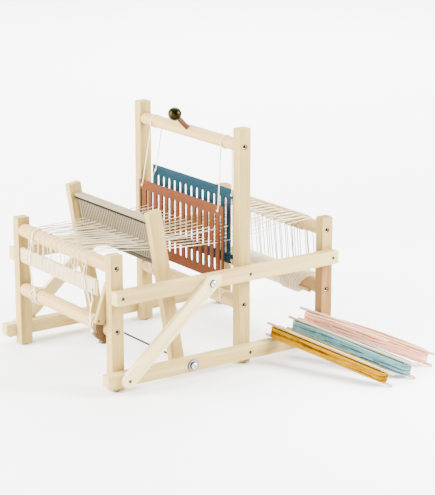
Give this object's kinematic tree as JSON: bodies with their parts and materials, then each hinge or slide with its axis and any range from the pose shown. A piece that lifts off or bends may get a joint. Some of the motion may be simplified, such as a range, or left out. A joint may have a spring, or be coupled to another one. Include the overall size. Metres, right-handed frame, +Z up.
{
  "type": "frame loom",
  "caption": "Small wooden table loom with a swinging beater and reed, heddle boards hung from a lever roller, cloth and warp beams, strung warp and wound stick shuttles.",
  "frame": {"origin": "middle of the underside of the whole set's box, on the surface that the loom stands on", "axes": "+X along the beams to the weaver's right, +Y from the weaver to the back of the loom, +Z up"},
  "size_m": [0.5024, 0.4518, 0.3564],
  "materials": {
    "birch": "fine sanded light wood, clear",
    "dark_wood": "oiled brown wood",
    "pad": "matt dark pads",
    "bright_steel": "bright plated steel",
    "dark_steel": "dark steel",
    "copper_steel": "copper-brown lacquered steel",
    "knob": "glossy dark olive",
    "coral_board": "matt coral board",
    "blue_board": "matt grey-blue board",
    "reed": "khaki reed",
    "cotton": "unbleached cotton thread",
    "orange_yarn": "orange yarn",
    "blue_yarn": "grey-blue yarn",
    "pink_yarn": "pale pink yarn"
  },
  "bodies": {
    "frame": {"left_front_post": "birch", "right_front_post": "birch", "left_middle_post": "birch", "right_middle_post": "birch", "left_back_post": "birch", "right_back_post": "birch", "left_top_rail": "birch", "right_top_rail": "birch", "left_low_rail": "birch", "right_low_rail": "birch", "left_brace": "birch", "right_brace": "birch", "foot_pads": "pad", "beam_bolts": "bright_steel", "rail_screws": "dark_steel", "brace_screws": "dark_steel", "brace_bolts": "bright_steel", "brace_nuts": "bright_steel", "breast_beam": "birch", "back_beam": "birch", "pivot_rod": "dark_steel", "pivot_washers": "bright_steel", "pivot_nuts": "bright_steel", "pawl_screw": "dark_steel", "front_heddle_threads": "cotton", "back_heddle_threads": "cotton"},
    "heddle_roller": {"heddle_roller": "birch", "lever_stem": "copper_steel", "lever_knob": "knob"},
    "lower_roller": {"lower_roller": "birch"},
    "front_heddle": {"front_heddle": "coral_board", "front_heddle_cords": "cotton"},
    "back_heddle": {"back_heddle": "blue_board", "back_heddle_cords": "cotton"},
    "beater": {"left_sword": "birch", "right_sword": "birch", "beater_cap": "reed", "beater_rail": "dark_wood", "reed": "reed"},
    "cloth_beam": {"cloth_beam": "birch", "ratchet_wheel": "dark_wood", "tie_cords": "cotton"},
    "pawl": {"pawl": "birch", "pawl_peg": "dark_wood"},
    "tie_slat": {"tie_slat": "birch", "slat_winding": "cotton"},
    "warp_beam": {"warp_beam": "birch", "warp_stick": "birch", "warp_roll": "cotton", "warp_layer": "cotton"},
    "orange_shuttle": {"orange_shuttle": "birch", "orange_core": "orange_yarn", "orange_yarn": "orange_yarn"},
    "blue_shuttle": {"blue_shuttle": "birch", "blue_core": "blue_yarn", "blue_yarn": "blue_yarn"},
    "pink_shuttle": {"pink_shuttle": "birch", "pink_core": "pink_yarn", "pink_yarn": "pink_yarn"}
  },
  "joints": [
    {"name": "beater_swing", "type": "hinge", "parent": "frame", "child": "beater", "pos_m": [-0.08866, -0.0869, 0.021], "axis": [-1, 0, 0], "range_deg": [-12, 25]},
    {"name": "heddle_turn", "type": "hinge", "parent": "frame", "child": "heddle_roller", "pos_m": [-0.08866, 0.0126, 0.318], "axis": [-1, 0, 0], "range_deg": [-16, 104]},
    {"name": "front_heddle_lift", "type": "slide", "parent": "frame", "child": "front_heddle", "axis": [0, 0, 1], "range_m": [-0.003, 0.0186], "deforming": ["front_heddle_cords", "front_heddle_threads"]},
    {"name": "back_heddle_lift", "type": "slide", "parent": "frame", "child": "back_heddle", "axis": [0, 0, 1], "range_m": [-0.0186, 0.003], "deforming": ["back_heddle_cords", "back_heddle_threads"]},
    {"name": "lower_roller_turn", "type": "hinge", "parent": "frame", "child": "lower_roller", "pos_m": [-0.08866, 0.0126, 0.088], "axis": [-1, 0, 0], "range_deg": [-15, 96]},
    {"name": "cloth_turn", "type": "hinge", "parent": "frame", "child": "cloth_beam", "pos_m": [-0.08866, -0.2004, 0.086], "axis": [1, 0, 0], "range_deg": [0, 100], "deforming": ["tie_cords"]},
    {"name": "slat_travel", "type": "slide", "parent": "frame", "child": "tie_slat", "axis": [0, 0, -1], "range_m": [0, 0.0196]},
    {"name": "pawl_swing", "type": "hinge", "parent": "frame", "child": "pawl", "pos_m": [0.02754, -0.2014, 0.149], "axis": [-1, 0, 0], "range_deg": [-3.5, 25]},
    {"name": "warp_turn", "type": "hinge", "parent": "frame", "child": "warp_beam", "pos_m": [-0.08866, 0.1616, 0.086], "axis": [1, 0, 0], "range_deg": [0, 75]},
    {"name": "orange_shuttle_lift", "type": "slide", "parent": "frame", "child": "orange_shuttle", "axis": [0, 0, 1], "range_m": [0, 0.06]},
    {"name": "blue_shuttle_lift", "type": "slide", "parent": "frame", "child": "blue_shuttle", "axis": [0, 0, 1], "range_m": [0, 0.06]},
    {"name": "pink_shuttle_lift", "type": "slide", "parent": "frame", "child": "pink_shuttle", "axis": [0, 0, 1], "range_m": [0, 0.06]}
  ],
  "couplings": [
    {"joint": "front_heddle_lift", "follows": "heddle_turn", "m_per_rad": 0.0101},
    {"joint": "back_heddle_lift", "follows": "heddle_turn", "m_per_rad": -0.0101},
    {"joint": "lower_roller_turn", "follows": "heddle_turn", "ratio": 0.9099},
    {"joint": "slat_travel", "follows": "cloth_turn", "m_per_rad": 0.0111},
    {"joint": "warp_turn", "follows": "cloth_turn", "ratio": 0.6498}
  ]
}
